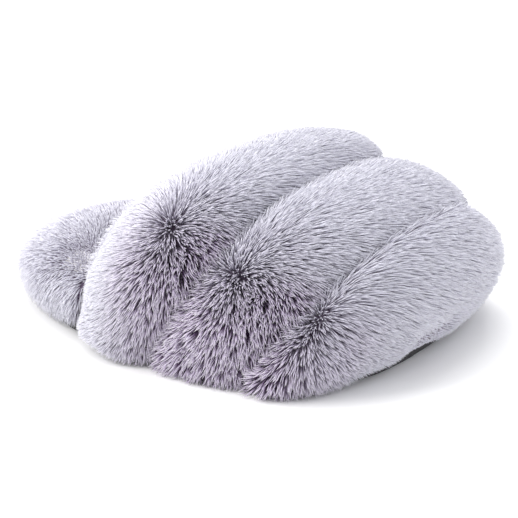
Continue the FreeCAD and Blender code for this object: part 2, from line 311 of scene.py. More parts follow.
def drop_inner_shells(mesh):
    """Only the largest closed shell stays, so no loose scrap hides inside a skin."""
    work = bmesh.new()
    work.from_mesh(mesh)
    left = set(work.verts)
    shells = []
    while left:
        start = left.pop()
        shell, waiting = {start}, [start]
        while waiting:
            for edge in waiting.pop().link_edges:
                for vert in edge.verts:
                    if vert in left:
                        left.discard(vert)
                        shell.add(vert)
                        waiting.append(vert)
        shells.append(shell)
    largest = max(shells, key=len)
    bmesh.ops.delete(work, geom=[vert for vert in work.verts if vert not in largest], context="VERTS")
    work.to_mesh(mesh)
    work.free()


def relaxed(mesh, rounds, factor=0.5):
    work = bmesh.new()
    work.from_mesh(mesh)
    for _ in range(rounds):
        bmesh.ops.smooth_vert(
            work, verts=work.verts, factor=factor, use_axis_x=True, use_axis_y=True, use_axis_z=True
        )
    work.to_mesh(mesh)
    work.free()


CLOTH_STEPS = 20


def blown_up(piece, free, most, pressure=4.0):
    """Cloth held where free is 0 and inflated where it is 1, by no more than most."""
    start = positions(piece.data)
    held = piece.vertex_groups.new(name="held")
    for index, share in enumerate(free):
        held.add([index], 1.0 - float(share), "REPLACE")
    cloth = piece.modifiers.new("stuffing", "CLOTH")
    cloth.settings.quality = 4
    cloth.settings.mass = 0.2
    cloth.settings.vertex_group_mass = "held"
    cloth.settings.use_pressure = True
    cloth.settings.uniform_pressure_force = pressure
    cloth.settings.effector_weights.gravity = 0.0
    cloth.collision_settings.use_collision = False
    for step in range(1, CLOTH_STEPS + 1):
        scene.frame_set(step)
    apply_modifiers(piece)
    scene.frame_set(1)
    piece.vertex_groups.clear()
    moved = (positions(piece.data) - start) * free[:, None]
    length = np.linalg.norm(moved, axis=1, keepdims=True)
    place(piece.data, start + moved * np.minimum(1.0, most / np.maximum(length, 1e-9)))


def smooth(mesh):
    mesh.polygons.foreach_set("use_smooth", [True] * len(mesh.polygons))


def finish_skin(piece, material, slot_name, body, fill, *nodes):
    smooth(piece.data)
    if material:
        piece.data.materials.append(material)
    finer = piece.modifiers.new("finer", "SUBSURF")
    finer.levels = 1
    finer.render_levels = 1
    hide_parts(*nodes)
    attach(piece, body)


def pile_backing(name, root, tuft, density=230.0):
    """The knitted ground between the tufts, with the pile's feet as paler dots; it is coloured dark as
    painted shade in the gaps between the tufts.
    """
    material, tree, shader = new_material(name, Sheen_Weight=0.3, Specular_IOR_Level=0.2)
    spot = make(tree, "ShaderNodeTexCoord").outputs["Object"]
    feet = make(tree, "ShaderNodeTexVoronoi", {"Vector": spot, "Scale": density}).outputs["Distance"]
    cloud = blended(tree, "MULTIPLY", object_noise(tree, 45.0, 4.0), 0.5)
    mixed = blended(tree, "ADD", feet, cloud)
    colour = colour_ramp(tree, mixed, (0.25, *tuft), (0.75, *root))
    feed(tree, shader, Base_Color=colour, Roughness=ranged(tree, feet, 0.75, 0.95))
    raise_bumps(tree, shader, feet, 0.002, 0.8)
    return material


pad_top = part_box("base_pad")[1].z
base_outline = surface_tree(*cad("base_cloth"))
lining_tree = surface_tree(*cad("hood_lining"))
# The long pile's ground is near black, so the gaps between its tufts show painted shade.
painted_shade_backing = pile_backing("plush_backing", (0.09, 0.06, 0.105), (0.36, 0.31, 0.41))


def over_base(point):
    return base_outline.ray_cast(Vector((point[0], point[1], 1.0)), Vector((0, 0, -1)))[0] is not None


def hung_down(mesh, share, reach=0.05, floor_gap=0.004):
    """Plush that overhangs the base droops beside it by a share of the way to the floor."""
    points = positions(mesh)
    for point, part in zip(points, share):
        if point[2] < pad_top + reach and not over_base(point):
            above = max(0.0, (point[2] - pad_top) / reach)
            point[2] -= part * (1.0 - above) ** 2 * (pad_top - floor_gap)
    place(mesh, points)


def at_sides(points):
    """1 along the bed's sides, and 0 round the toe, where the plush is drawn up tight."""
    return 1.0 - ease(points[:, 1], 0.16, 0.24)


def past_mouth(points):
    """0 at the mouth's edge and 1 a hand's width behind it."""
    return ease(points[:, 1], -0.06, 0.05)


SKIN_VOXEL = 0.006
DRAWN_IN = 0.004
MOST_SWELL = 0.008

# The open side of a skin is what lies more than a seam's depth outside the lining.
skins = {}
for rib in ("front", "middle", "back"):
    skin = remeshed(f"rib_{rib}_skin", cad(f"rib_cover_{rib}", f"rib_filling_{rib}"), SKIN_VOXEL)
    relaxed(skin.data, 2)
    free = ease(gap_to(lining_tree, positions(skin.data)), 0.012, 0.024)
    free *= ease(positions(skin.data)[:, 2], pad_top, pad_top + 0.03)
    drawn_in = (DRAWN_IN - 0.002 * (1 - past_mouth(positions(skin.data)))) * free
    place(skin.data, positions(skin.data) - normals(skin.data) * drawn_in[:, None])
    blown_up(skin, free, MOST_SWELL)
    relaxed(skin.data, 2)
    hung_down(skin.data, at_sides(positions(skin.data)) * past_mouth(positions(skin.data)))
    skins[rib] = skin
    finish_skin(skin, painted_shade_backing, "long_plush", "bed", 0.7, f"rib_cover_{rib}")

rim_skin = remeshed("rim_skin", cad("rim_cover", "rim_inner_wall", "rim_filling"), SKIN_VOXEL)
relaxed(rim_skin.data, 2)
hood_face = surface_tree(*cad("mouth_binding", "rib_cover_front"))
free = ease(gap_to(hood_face, positions(rim_skin.data)), 0.004, 0.02)
free *= ease(positions(rim_skin.data)[:, 2], pad_top, pad_top + 0.02)
place(rim_skin.data, positions(rim_skin.data) - normals(rim_skin.data) * (DRAWN_IN * free[:, None]))
blown_up(rim_skin, free, MOST_SWELL)
relaxed(rim_skin.data, 2)
points = positions(rim_skin.data)
worn = ease(points[:, 0], 0.03, 0.12) * ease(points[:, 1], -0.24, -0.14) * ease(points[:, 2], 0.03, 0.075)
place(rim_skin.data, points - np.array([[0.0, 0.0, 0.004]]) * worn[:, None])
hung_down(rim_skin.data, np.full(len(rim_skin.data.vertices), 0.6))
finish_skin(rim_skin, painted_shade_backing, "long_plush", "bed", 0.7, "rim_cover", "rim_inner_wall")

# ---------------------------------------------------------------- base pad, fillings and quilting
# A thin polyester batt lies in the base tray, and loose fibre fills the ribs, the rim and the cushion.
# Lilac cloth walls stand between the ribs and quilt them to the lining; the cloth is darkened as painted
# shade to match the grooves.


def fibre_fill(name, low, high):
    """Matted fibre: clumps over fine tangled strands."""
    material, tree, shader = new_material(name, Sheen_Weight=0.4, Specular_IOR_Level=0.2)
    clumps = blended(tree, "MULTIPLY", object_noise(tree, 70.0, 6.0), 0.6)
    strands = object_noise(tree, 500.0, 4.0, (1.0, 0.25, 1.0))
    mixed = blended(tree, "ADD", clumps, blended(tree, "MULTIPLY", strands, 0.4))
    colour = colour_ramp(tree, mixed, (0.35, *low), (0.65, *high))
    feed(tree, shader, Base_Color=colour, Roughness=ranged(tree, strands, 0.8, 0.95))
    raise_bumps(tree, shader, mixed, 0.003, 0.8)
    return material


wadding = fibre_fill("polyester_wadding", (0.62, 0.61, 0.60), (0.90, 0.89, 0.88))
# The walls' cloth is a darker lilac-grey than the plush. This is painted shade, so their edges in the grooves
# read as shade.
quilting_cloth = woven_cloth("lilac_quilting_cloth_groove_shade", (0.16, 0.13, 0.18), (0.34, 0.29, 0.38), 600.0, 0.8)
for node in ("rib_filling_front", "rib_filling_middle", "rib_filling_back", "rim_filling", "cushion_filling"):
    dress(node, wadding)
dress("quilt_wall_front", quilting_cloth)
dress("quilt_wall_back", quilting_cloth)

batt = remeshed("base_pad_batt", cad("base_pad"), voxel=0.0075)
relaxed(batt.data, 2)
lumps = [noise.noise(Vector(point) * 25.0) for point in positions(batt.data)]
place(batt.data, positions(batt.data) - normals(batt.data) * (0.0004 + 0.0004 * np.array(lumps))[:, None])
finish_skin(batt, wadding, "wadding", "bed", 0.3, "base_pad")

# ---------------------------------------------------------------- long pile
# Straight polyester hairs are knitted into the ground in tufts, so they lean together. Each modelled
# hair is a three-sided spike that is dark at its foot and pale at its tip.


def geometry_tree(name, inputs):
    """An empty Geometry Nodes tree with named inputs; returns it with its input and output nodes."""
    tree = bpy.data.node_groups.new(name, "GeometryNodeTree")
    tree.interface.new_socket("Geometry", in_out="INPUT", socket_type="NodeSocketGeometry")
    for socket, kind in inputs:
        tree.interface.new_socket(socket, in_out="INPUT", socket_type="NodeSocket" + kind)
    tree.interface.new_socket("Geometry", in_out="OUTPUT", socket_type="NodeSocketGeometry")
    return tree, tree.nodes.new("NodeGroupInput").outputs, tree.nodes.new("NodeGroupOutput").inputs


def input_names(tree):
    """The identifier by which a modifier knows each named input of a tree."""
    return {item.name: item.identifier for item in tree.interface.items_tree if item.in_out == "INPUT"}


def vector_math(tree, operation, first, second=None, scale=None):
    inputs = {0: first}
    if second is not None:
        inputs[1] = second
    if scale is not None:
        inputs["Scale"] = scale
    node = make(tree, "ShaderNodeVectorMath", inputs, operation=operation)
    return node.outputs["Value" if operation in ("DOT_PRODUCT", "LENGTH") else "Vector"]


def attribute(tree, name, kind="FLOAT"):
    node = make(tree, "GeometryNodeInputNamedAttribute", {"Name": name}, data_type=kind)
    return node.outputs["Attribute"]


def store(tree, geometry, name, value, kind="FLOAT", domain="POINT"):
    inputs = {"Geometry": geometry, "Name": name, "Value": value}
    return make(tree, "GeometryNodeStoreNamedAttribute", inputs, data_type=kind, domain=domain).outputs[0]


def random_value(tree, kind, low, high, seed):
    """A seeded random value for each point."""
    node = make(tree, "FunctionNodeRandomValue", data_type=kind)
    inputs = [socket for socket in node.inputs if socket.enabled]
    inputs[0].default_value = low
    inputs[1].default_value = high
    if isinstance(seed, bpy.types.NodeSocket):
        tree.links.new(seed, node.inputs["Seed"])
    else:
        node.inputs["Seed"].default_value = seed
    return next(socket for socket in node.outputs if socket.enabled)


def pile_tree():
    """Hairs on a skin whose attributes say how thick, how long and which way its pile is."""
    measures = ("Density", "Length", "Uneven length", "Hair radius", "Tufts", "Tuft pull", "Tuft stray")
    measures += ("Stray", "Swirl", "Swirl scale", "Droop")
    inputs = [(socket, "Float") for socket in measures]
    inputs += [("Segments", "Int"), ("Seed", "Int"), ("Part", "Int"), ("Material", "Material")]
    tree, given, result = geometry_tree("pile", inputs)
    # Where the hairs and the tufts stand.
    thick = attribute(tree, "pile")
    density = blended(tree, "MULTIPLY", given["Density"], thick)
    seed = blended(tree, "ADD", blended(tree, "MULTIPLY", given["Seed"], 10.0), given["Part"])
    scatter = {"Mesh": given["Geometry"], "Density": density, "Seed": seed}
    hairs = make(tree, "GeometryNodeDistributePointsOnFaces", scatter)
    upright_and_shaded = attribute(tree, "pile_upright_and_shade")
    tuft_density = blended(tree, "MULTIPLY", given["Tufts"], ranged(tree, upright_and_shaded, 2.5, 1.0))
    scatter = {"Mesh": given["Geometry"], "Density": tuft_density, "Seed": given["Seed"]}
    tufts = make(tree, "GeometryNodeDistributePointsOnFaces", scatter).outputs["Points"]
    spot = make(tree, "GeometryNodeInputPosition").outputs[0]
    inputs = {"Geometry": tufts, "Sample Position": spot}
    nearest = make(tree, "GeometryNodeSampleNearest", inputs).outputs["Index"]

    def of_tuft(value, kind):
        inputs = {"Geometry": tufts, "Value": value, "Index": nearest}
        return make(tree, "GeometryNodeSampleIndex", inputs, data_type=kind).outputs["Value"]

    centre = of_tuft(spot, "FLOAT_VECTOR")
    upright_and_shaded = of_tuft(upright_and_shaded, "FLOAT")
    # Which way each hair grows: off the skin, as it is brushed, swirled with its neighbours and a bit astray.
    inputs = {"Vector": centre, "Scale": given["Swirl scale"], "Detail": 1.0}
    swirl = make(tree, "ShaderNodeTexNoise", inputs)
    swirl = vector_math(tree, "SUBTRACT", swirl.outputs["Color"], (0.5, 0.5, 0.5))
    swirl = vector_math(tree, "SCALE", swirl, scale=given["Swirl"])
    stray = random_value(tree, "FLOAT_VECTOR", (-1, -1, -1), (1, 1, 1), 11)
    wilder = ranged(tree, upright_and_shaded, 0.8, 1.8)
    stray = vector_math(tree, "SCALE", stray, scale=blended(tree, "MULTIPLY", given["Stray"], wilder))
    dice = make(tree, "ShaderNodeTexWhiteNoise", {"Vector": centre}, noise_dimensions="3D").outputs
    apart = vector_math(tree, "SUBTRACT", dice["Color"], (0.5, 0.5, 0.5))
    apart = vector_math(tree, "SCALE", apart, scale=blended(tree, "MULTIPLY", given["Tuft stray"], upright_and_shaded))
    stray = vector_math(tree, "ADD", stray, apart)
    lean = attribute(tree, "lean", "FLOAT_VECTOR")
    rise = vector_math(tree, "ADD", hairs.outputs["Normal"], lean)
    rise = vector_math(tree, "ADD", rise, vector_math(tree, "ADD", swirl, stray))
    rise = vector_math(tree, "NORMALIZE", rise)
    shorten = blended(tree, "MULTIPLY", random_value(tree, "FLOAT", 0.0, 1.0, 12), given["Uneven length"])
    length = blended(tree, "MULTIPLY", given["Length"], attribute(tree, "pile_length"))
    length = blended(tree, "MULTIPLY", length, blended(tree, "SUBTRACT", 1.0, shorten))
    # Most of this value is the standing share, which picks the darker colours as painted shade on the near
    # side; a little random tone for each hair and tuft is added.
    tone_and_shade = random_value(tree, "FLOAT", 0.02, 0.1, 13)
    tone_and_shade = blended(tree, "ADD", tone_and_shade, blended(tree, "MULTIPLY", dice["Value"], 0.06))
    tone_and_shade = blended(tree, "ADD", blended(tree, "MULTIPLY", upright_and_shaded, 0.8), tone_and_shade)
    turn = random_value(tree, "FLOAT_VECTOR", (-1, -1, -1), (1, 1, 1), 14)
    stoutness = blended(tree, "MULTIPLY", ranged(tree, upright_and_shaded, 0.65, 1.3), given["Hair radius"])
    points = hairs.outputs["Points"]
    points = store(tree, points, "foot", spot, "FLOAT_VECTOR")
    points = store(tree, points, "tuft", centre, "FLOAT_VECTOR")
    points = store(tree, points, "rise", rise, "FLOAT_VECTOR")
    points = store(tree, points, "turn", turn, "FLOAT_VECTOR")
    points = store(tree, points, "hair_length", length)
    points = store(tree, points, "tone_and_shade", tone_and_shade)
    points = store(tree, points, "stoutness", stoutness)
    points = store(tree, points, "gather", blended(tree, "MULTIPLY", upright_and_shaded, given["Tuft pull"]))
    # One straight hair, which each copy then bends.
    inputs = {"Vertices": 3, "Side Segments": given["Segments"]}
    inputs |= {"Radius Top": 0.0, "Radius Bottom": 1.0, "Depth": 1.0}
    cone = make(tree, "GeometryNodeMeshCone", inputs, fill_type="NONE").outputs["Mesh"]
    along = make(tree, "ShaderNodeSeparateXYZ", {0: spot}).outputs["Z"]
    cone = store(tree, cone, "along", along)
    side = vector_math(tree, "NORMALIZE", vector_math(tree, "MULTIPLY", spot, (1, 1, 0)))
    cone = store(tree, cone, "side", side, "FLOAT_VECTOR")
    copies = make(tree, "GeometryNodeInstanceOnPoints", {"Points": points, "Instance": cone}).outputs[0]
    pile = make(tree, "GeometryNodeRealizeInstances", {"Geometry": copies}).outputs[0]
    along = attribute(tree, "along")
    side = make(tree, "ShaderNodeSeparateXYZ", {0: attribute(tree, "side", "FLOAT_VECTOR")}).outputs
    rise = attribute(tree, "rise", "FLOAT_VECTOR")
    foot = attribute(tree, "foot", "FLOAT_VECTOR")
    length = attribute(tree, "hair_length")
    reach = blended(tree, "MULTIPLY", along, length)
    line = vector_math(tree, "ADD", foot, vector_math(tree, "SCALE", rise, scale=reach))
    sag = blended(tree, "MULTIPLY", blended(tree, "MULTIPLY", reach, along), given["Droop"])
    line = vector_math(tree, "ADD", line, vector_math(tree, "SCALE", (0.0, 0.0, -1.0), scale=sag))
    gather = blended(tree, "MULTIPLY", blended(tree, "POWER", along, 1.4), attribute(tree, "gather"))
    inward = vector_math(tree, "SUBTRACT", attribute(tree, "tuft", "FLOAT_VECTOR"), foot)
    line = vector_math(tree, "ADD", line, vector_math(tree, "SCALE", inward, scale=gather))
    across = vector_math(tree, "CROSS_PRODUCT", rise, attribute(tree, "turn", "FLOAT_VECTOR"))
    across = vector_math(tree, "NORMALIZE", across)
    beside = vector_math(tree, "CROSS_PRODUCT", rise, across)
    offset = vector_math(tree, "SCALE", across, scale=side["X"])
    offset = vector_math(tree, "ADD", offset, vector_math(tree, "SCALE", beside, scale=side["Y"]))
    taper = blended(tree, "POWER", blended(tree, "SUBTRACT", 1.0, along, clamp=True), 0.35)
    taper = blended(tree, "MULTIPLY", taper, attribute(tree, "stoutness"))
    offset = vector_math(tree, "SCALE", offset, scale=taper)
    line = make(tree, "ShaderNodeSeparateXYZ", {0: vector_math(tree, "ADD", line, offset)}).outputs
    level = blended(tree, "MAXIMUM", line["Z"], blended(tree, "MULTIPLY", along, 0.0015))
    resting = make(tree, "ShaderNodeCombineXYZ", {"X": line["X"], "Y": line["Y"], "Z": level}).outputs[0]
    pile = make(tree, "GeometryNodeSetPosition", {"Geometry": pile, "Position": resting}).outputs[0]
    # The bake map: across it runs the hair's tone and its share of painted shade, and up it runs from foot to
    # tip.
    wide = blended(tree, "ADD", side["X"], blended(tree, "MULTIPLY", side["Y"], 0.7))
    wide = blended(tree, "MULTIPLY", wide, 0.004)
    wide = blended(tree, "ADD", attribute(tree, "tone_and_shade"), wide)
    flat = make(tree, "ShaderNodeCombineXYZ", {"X": wide, "Y": along}).outputs[0]
    pile = store(tree, pile, "OFBake", flat, "FLOAT2", "CORNER")
    grown = ("foot", "tuft", "rise", "turn", "hair_length", "stoutness", "tone_and_shade", "gather", "along", "side")
    for name in grown + ("pile", "lean", "pile_length", "pile_upright_and_shade"):
        pile = make(tree, "GeometryNodeRemoveAttribute", {"Geometry": pile, "Name": name}).outputs[0]
    pile = make(tree, "GeometryNodeSetShadeSmooth", {"Geometry": pile}).outputs[0]
    inputs = {"Geometry": pile, "Material": given["Material"]}
    pile = make(tree, "GeometryNodeSetMaterial", inputs).outputs[0]
    tree.links.new(pile, result["Geometry"])
    return tree


def pile_hair(name, lit_flat_colours, shaded_standing_colours):
    """Hair whose colour runs from foot to tip. Where the pile stands up, on the bed's near side, it takes
    darker, richer colours as painted shade, and each lock is a little lighter or darker than the next."""
    sockets = {"Sheen Weight": 0.25, "Sheen Roughness": 0.4, "Specular IOR Level": 0.25}
    material, tree, shader = new_material(name, **sockets)
    bake = make(tree, "ShaderNodeUVMap", uv_map="OFBake").outputs["UV"]
    bake = make(tree, "ShaderNodeSeparateXYZ", {0: bake}).outputs
    pale = colour_ramp(tree, bake["Y"], *lit_flat_colours)
    deep = colour_ramp(tree, bake["Y"], *shaded_standing_colours)
    # The share of the darker colours: painted shade where the pile stands up, plus each tuft's own tone.
    upright_and_shaded = blended(tree, "MULTIPLY", bake["X"], 1.2, True)
    # A mix node's colour sockets, A and B, are numbers 6 and 7.
    colour = make(tree, "ShaderNodeMix", {0: upright_and_shaded, 6: pale, 7: deep}, data_type="RGBA")
    lock = blended(tree, "FLOOR", blended(tree, "MULTIPLY", bake["X"], 160.0), 0.0)
    lock = make(tree, "ShaderNodeTexWhiteNoise", {"W": lock}, noise_dimensions="1D").outputs["Value"]
    inputs = {"Color": colour.outputs[2], "Value": ranged(tree, lock, 0.86, 1.06)}
    shaded = make(tree, "ShaderNodeHueSaturation", inputs).outputs[0]
    feed(tree, shader, Base_Color=shaded, Roughness=ranged(tree, bake["Y"], 0.8, 0.5))
    return material


PILE = pile_tree()
PILE_INPUTS = input_names(PILE)


def grow_pile(name, skin, body, slot_name, share, **values):
    """A piece of pile on part of a skin: share says how much of its pile each point has."""
    bearer = bpy.data.objects.new(name, skin)
    whole = np.empty(len(skin.vertices))
    skin.attributes["pile"].data.foreach_get("value", whole)
    skin.attributes["pile"].data.foreach_set("value", whole * share)
    scene.collection.objects.link(bearer)
    modifier = bearer.modifiers.new("pile", "NODES")
    modifier.node_group = PILE
    for key, value in values.items():
        modifier[PILE_INPUTS[key.replace("_", " ")]] = value
    depsgraph = bpy.context.evaluated_depsgraph_get()
    pile = bpy.data.meshes.new_from_object(bearer.evaluated_get(depsgraph))
    bearer.modifiers.clear()
    skin.attributes["pile"].data.foreach_set("value", whole)
    bearer.data = pile
    pile.name = name
    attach(bearer, body)
    return bearer


def set_point_attribute(mesh, name, values):
    kind = "FLOAT_VECTOR" if values.ndim == 2 else "FLOAT"
    stored = mesh.attributes.new(name, kind, "POINT")
    stored.data.foreach_set("vector" if values.ndim == 2 else "value", np.ascontiguousarray(values).ravel())


# The first ramp is the lit colour of the flat-brushed top and far side; the second, far darker one paints
# shade on the standing near side.
long_hair = pile_hair(
    "long_pile",
    ((0.0, 0.38, 0.34, 0.43), (0.3, 0.66, 0.64, 0.745), (0.6, 0.80, 0.795, 0.88), (1.0, 0.865, 0.87, 0.94)),
    ((0.0, 0.035, 0.012, 0.05), (0.48, 0.13, 0.08, 0.16), (0.75, 0.6, 0.525, 0.68), (0.95, 0.94, 0.9, 0.98)),
)
LONG_PILE = {
    "Density": 255000.0,
    "Length": 0.026,
    "Uneven_length": 0.35,
    "Hair_radius": 0.00095,
    "Tufts": 38000.0,
    "Tuft_pull": 0.6,
    "Tuft_stray": 0.6,
    "Stray": 0.16,
    "Swirl": 0.7,
    "Swirl_scale": 22.0,
    "Droop": 0.15,
    "Segments": 3,
    "Material": long_hair,
}


def along_skin(direction, out):
    """The part of a direction that lies in the skin."""
    return direction - out * np.sum(direction * out, axis=1, keepdims=True)


def brushed(points, out, crown, amount, weight, toeward):
    """How far the pile leans: away from the crown it was brushed from, towards the toe and down."""
    # The crown is a short parting that runs down the rib from the crown's place.
    below = np.clip(crown[2] - points[:, 2], 0.0, 0.025)[:, None]
    away = points - np.array(crown) + below * np.array([[0.0, 0.3, 1.0]])
    far = np.linalg.norm(away, axis=1, keepdims=True)
    lean = along_skin(away / np.maximum(far, 1e-6), out) * (amount * ease(far[:, 0], 0.0, 0.03))[:, None]
    lean += along_skin(np.array([[0.0, 1.0, 0.0]]), out) * toeward[:, None]
    return lean + along_skin(np.array([[0.0, 0.0, -1.0]]), out) * weight[:, None]


def under_base(points, out):
    """The underside of a skin that lies on the base pad."""
    return (points[:, 2] < pad_top + 0.004) & (out[:, 2] < -0.5) & np.array([over_base(p) for p in points])


def rib_pile(mesh, crown):
    """Sets where a rib's pile grows, how upright and how long it is, and which way it leans."""
    points, out = positions(mesh), normals(mesh)
    past = past_mouth(points)
    toe_side = 1 - at_sides(points)
    low_down = 1 - ease(points[:, 2], 0.03, 0.09)
    # The pile stops a seam's depth from the lining, except on the front edge, where it hangs over the roll.
    from_lining = gap_to(lining_tree, points)
    front_edge = ease(-out[:, 1], 0.2, 0.6) * (1 - past)
    thick = np.maximum(ease(from_lining, 0.010, 0.018), ease(from_lining, 0.003, 0.008) * front_edge)
    thick[under_base(points, out)] = 0.0
    far_side = ease(-points[:, 0], -0.05, 0.05)
    set_point_attribute(mesh, "pile", thick * (1 - 0.25 * far_side))
    # The near side stands up in tufts below the crown, and there the hair takes the darker colours, which
    # paint shade on that side; the top and the far side are brushed flatter and keep the paler, lit colours.
    upright_and_shaded = ease(points[:, 0], 0.11, 0.17) * ease(points[:, 1], -0.05, 0.04)
    upright_and_shaded *= 1 - 0.8 * ease(points[:, 2], crown[2] - 0.01, crown[2] + 0.02)
    upright_and_shaded *= 0.6 + 0.4 * ease(np.linalg.norm(points - np.array(crown), axis=1), 0.01, 0.05)
    upright_and_shaded *= 1 - 0.5 * ease(points[:, 1], 0.16, 0.22)
    set_point_attribute(mesh, "pile_upright_and_shade", upright_and_shaded)
    # It is shorter in the grooves, round the mouth and at the toe's foot, where a few tufts are hitched
    # up, so the base's black edge shows.
    seam = 1 - ease(gap_to(quilt_tree, points), 0.004, 0.035)
    hitched = (1 - ease(np.abs(points[:, 0] - 0.04), 0.02, 0.045)) * (1 - ease(points[:, 2], 0.035, 0.07))
    mouth_top = (1 - past) * ease(points[:, 2], 0.06, 0.14)
    long = (0.85 + 0.15 * upright_and_shaded) * (1 - 0.5 * toe_side * low_down)
    long = long * (1 - 0.15 * seam * (1 - upright_and_shaded)) * (1 - 0.75 * hitched * toe_side)
    long = long * (1 - 0.15 * mouth_top) * (1 - 0.5 * (1 - past) * low_down)
    set_point_attribute(mesh, "pile_length", long)
    # It leans towards the toe, except near the mouth, where it leans out over the edge.
    near_mouth = ease(-out[:, 1], -0.1, 0.5) * (1 - ease(points[:, 1], 0.02, 0.10))
    toeward = 0.6 * (1 - upright_and_shaded) * (1 - near_mouth) - 1.6 * (1 - past)
    amount = (1.2 - 0.8 * upright_and_shaded) * (0.4 + 0.6 * past)
    lean = brushed(points, out, crown, amount, 0.25 * (1 - toe_side * low_down), toeward)
    set_point_attribute(mesh, "lean", lean)


def left_middle_right(points, half, soft=0.01):
    """Shares of the bed's left, middle and right parts, which add up to one."""
    right = ease(points[:, 0], half - soft, half + soft)
    left = ease(-points[:, 0], half - soft, half + soft)
    return {"left": left, "middle": 1 - left - right, "right": right}


quilt_tree = surface_tree(*cad("quilt_wall_front", "quilt_wall_back"))
CROWNS = {"front": (0.185, 0.020, 0.146), "middle": (0.182, 0.103, 0.108), "back": (0.168, 0.197, 0.082)}
for number, (rib, skin) in enumerate(skins.items()):
    rib_pile(skin.data, CROWNS[rib])
    for part, (side_name, share) in enumerate(left_middle_right(positions(skin.data), 0.12).items()):
        name = f"rib_{rib}_pile_{side_name}"
        grow_pile(name, skin.data, "bed", "long_plush", share, Seed=number, Part=part, **LONG_PILE)

points, out = positions(rim_skin.data), normals(rim_skin.data)
inward = ease(gap_to(surface_tree(*cad("rim_inner_wall")), points), 0.012, 0.0)
thick = ease(gap_to(hood_face, points), 0.004, 0.010)
thick[under_base(points, out)] = 0.0
low_down = 1 - ease(points[:, 2], 0.02, 0.06)
none = np.zeros(len(points))
far_side = ease(-points[:, 0], -0.05, 0.10)
set_point_attribute(rim_skin.data, "pile", thick * (1 - 0.2 * far_side))
long = (0.95 - 0.45 * inward) * (1 - 0.3 * low_down) * (1 - 0.3 * far_side) * (1 - 0.5 * worn)
long *= 1 - 0.3 * ease(points[:, 2], 0.05, 0.08)
set_point_attribute(rim_skin.data, "pile_length", long)
set_point_attribute(rim_skin.data, "pile_upright_and_shade", none)
near_side = ease(points[:, 0], 0.06, 0.14)
lean = brushed(points, out, (0.0, -0.12, 0.14), none + 0.9, 0.3 - 0.2 * low_down, 0.35 * near_side)
set_point_attribute(rim_skin.data, "lean", lean)
for part, (side_name, share) in enumerate(left_middle_right(points, 0.09).items()):
    name = f"rim_pile_{side_name}"
    grow_pile(name, rim_skin.data, "bed", "long_plush", share, Seed=7, Part=part, **LONG_PILE)

# ---------------------------------------------------------------- rolled mouth edge
# The front rib's plush is rolled round the hood's front edge and stitched down inside, which makes a
# thin soft roll with the same long pile.
roll = remeshed("mouth_roll", cad("mouth_binding"), voxel=0.0033)
relaxed(roll.data, 4)
place(roll.data, positions(roll.data) - normals(roll.data) * 0.0008)
finish_skin(roll, painted_shade_backing, "long_plush", "bed", 0.6, "mouth_binding")
points, out = positions(roll.data), normals(roll.data)
thick = ease(-out[:, 1], -0.5, 0.0) * ease(points[:, 2], pad_top, pad_top + 0.01)
set_point_attribute(roll.data, "pile", thick)
set_point_attribute(roll.data, "pile_length", 0.4 + 0.25 * ease(-out[:, 1], 0.0, 0.7))
set_point_attribute(roll.data, "pile_upright_and_shade", np.zeros(len(points)))
outward = along_skin(points - np.array([0.0, -0.05, 0.03]), out)
outward /= np.maximum(np.linalg.norm(outward, axis=1, keepdims=True), 1e-6)
set_point_attribute(roll.data, "lean", 0.3 * outward + along_skin(np.array([[0.0, -0.9, 0.0]]), out))
grow_pile("mouth_roll_pile", roll.data, "bed", "long_plush", 1.0, Seed=5, **LONG_PILE)

# ---------------------------------------------------------------- hood lining
# Short lilac plush lines the hood. It is tacked along each quilting wall, so it pillows a little
# between the seams.


def grid_piece(name, points):
    """A sheet of quads through a grid of points."""
    rows, columns = points.shape[:2]
    corner = np.arange(rows * columns).reshape(rows, columns)
    faces = np.stack([corner[:-1, :-1], corner[:-1, 1:], corner[1:, 1:], corner[1:, :-1]], axis=-1)
    mesh = bpy.data.meshes.new(name)
    mesh.from_pydata(points.reshape(-1, 3).tolist(), [], faces.reshape(-1, 4).tolist())
    piece = bpy.data.objects.new(name, mesh)
    scene.collection.objects.link(piece)
    return piece


# Each arch stands on the nest floor at a place along Y and leans back from upright by some degrees.
FIRST_ARCH = -0.1005
ARCH_RUN = 0.26
MOUTH_LEAN = 16.5
TOE_LEAN = 89.0


def cavity_grid(rows, columns):
    """Points on the lining's inner face, in arches that lean back more and more towards the toe."""
    floor_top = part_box("floor_cloth")[1].z + 0.0008
    found = np.full((rows, columns), np.nan)
    starts, ways = [], np.empty((rows, columns, 3))
    for row in range(rows):
        along = row / (rows - 1)
        lean = math.radians(MOUTH_LEAN + (TOE_LEAN - MOUTH_LEAN) * along)
        starts.append(Vector((0.0, FIRST_ARCH + ARCH_RUN * along, floor_top)))
        for column in range(columns):
            turn = math.pi * column / (columns - 1)
            way = Vector((math.cos(turn), math.sin(turn) * math.sin(lean), math.sin(turn) * math.cos(lean)))
            ways[row, column] = way
            reach = lining_tree.ray_cast(starts[-1], way)[3]
            if reach is not None and reach > 0.03:
                found[row, column] = reach
    # A ray that slips past the mouth's edge or under the lining takes its neighbours' reach.
    for _ in range(rows + columns):
        if not np.isnan(found).any():
            break
        padded = np.pad(found, 1, constant_values=np.nan)
        near = np.stack([padded[:-2, 1:-1], padded[2:, 1:-1], padded[1:-1, :-2], padded[1:-1, 2:]])
        count = np.maximum((~np.isnan(near)).sum(axis=0), 1)
        guess = np.where((~np.isnan(near)).any(axis=0), np.nansum(near, axis=0) / count, np.nan)
        found = np.where(np.isnan(found), guess, found)
    return np.array(starts)[:, None, :] + ways * found[:, :, None]


